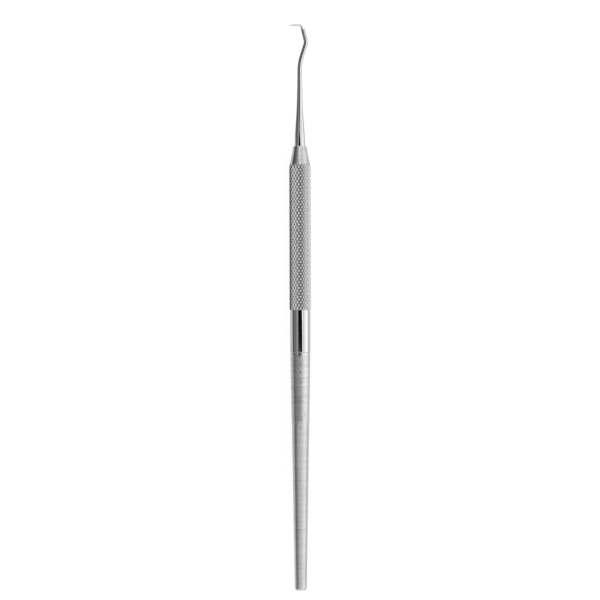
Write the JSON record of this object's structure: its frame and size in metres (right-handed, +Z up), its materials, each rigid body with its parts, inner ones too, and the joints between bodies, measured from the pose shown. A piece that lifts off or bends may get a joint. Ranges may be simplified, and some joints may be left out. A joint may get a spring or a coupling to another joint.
{
  "type": "dental explorer",
  "caption": "Dental explorer: a fine right-angled point on a thin bent shank, with a diamond-knurled grip and a tapered tail, for feeling along teeth.",
  "frame": {"origin": "centre of the flat face on the butt, on the handle's axis", "axes": "+Y along the handle from the butt to the point, +Z up as it lies on a flat surface, -X the side that the hook turns to"},
  "size_m": [0.0066, 0.1642, 0.0064],
  "materials": {
    "polished_steel": "mirror-polished stainless steel",
    "knurled_steel": "satin stainless steel with cut diamonds, and a mirror-polished collar behind them",
    "satin_steel": "satin stainless steel with fine turning marks"
  },
  "bodies": {
    "root": {"working_end": "polished_steel", "grip": "knurled_steel", "tail": "satin_steel"}
  },
  "joints": []
}
